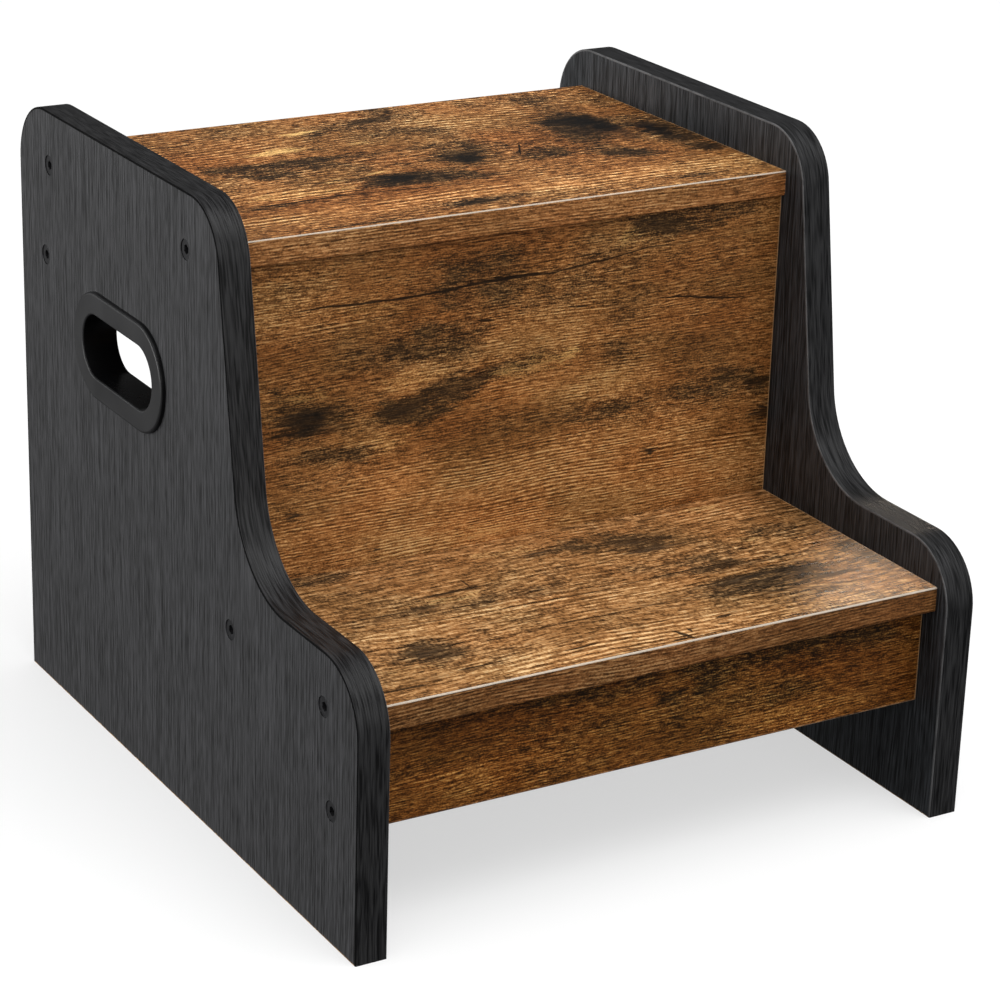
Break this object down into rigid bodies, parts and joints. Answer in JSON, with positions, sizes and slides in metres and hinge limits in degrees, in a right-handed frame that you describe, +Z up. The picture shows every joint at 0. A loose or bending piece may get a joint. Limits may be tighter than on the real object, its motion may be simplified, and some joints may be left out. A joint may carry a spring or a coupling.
{
  "type": "step stool",
  "caption": "Stepped stool: black profiled side panels with lined hand slots hold rustic brown treads, risers and a back rail.",
  "frame": {"origin": "on the floor, under the middle of the stool's width and depth", "axes": "+Z up, front edge of the steps faces -Y, +X to the right as seen looking along +Y"},
  "size_m": [0.3208, 0.35, 0.294],
  "materials": {
    "black_board": "matt black laminate with a fine upright wood grain",
    "black_edging": "black edge band, grained, satin",
    "rustic_board": "brown distressed wood print, satin, grain along the width",
    "rustic_edging": "brown printed edge band with a paler worn arris",
    "grommet_plastic": "moulded black plastic, fine satin",
    "screw_steel": "black zinc, satin",
    "dowel_wood": "bare beech"
  },
  "bodies": {
    "root": {"side_panel_left": "black_board", "side_panel_right": "black_board", "side_edging_left": "black_edging", "side_edging_right": "black_edging", "top_tread": "rustic_board", "top_tread_front_edging": "rustic_edging", "top_tread_back_edging": "rustic_edging", "lower_tread": "rustic_board", "lower_tread_front_edging": "rustic_edging", "tall_riser": "rustic_board", "tall_riser_edging": "rustic_edging", "front_riser": "rustic_board", "front_riser_edging": "rustic_edging", "back_rail": "rustic_board", "back_rail_edging": "rustic_edging", "handle_grommet_left": "grommet_plastic", "handle_grommet_right": "grommet_plastic", "top_tread_screws": "screw_steel", "lower_tread_screws": "screw_steel", "front_riser_screws": "screw_steel", "back_rail_screws": "screw_steel", "tall_riser_dowels": "dowel_wood", "front_riser_dowels": "dowel_wood", "back_rail_dowels": "dowel_wood"}
  },
  "joints": []
}
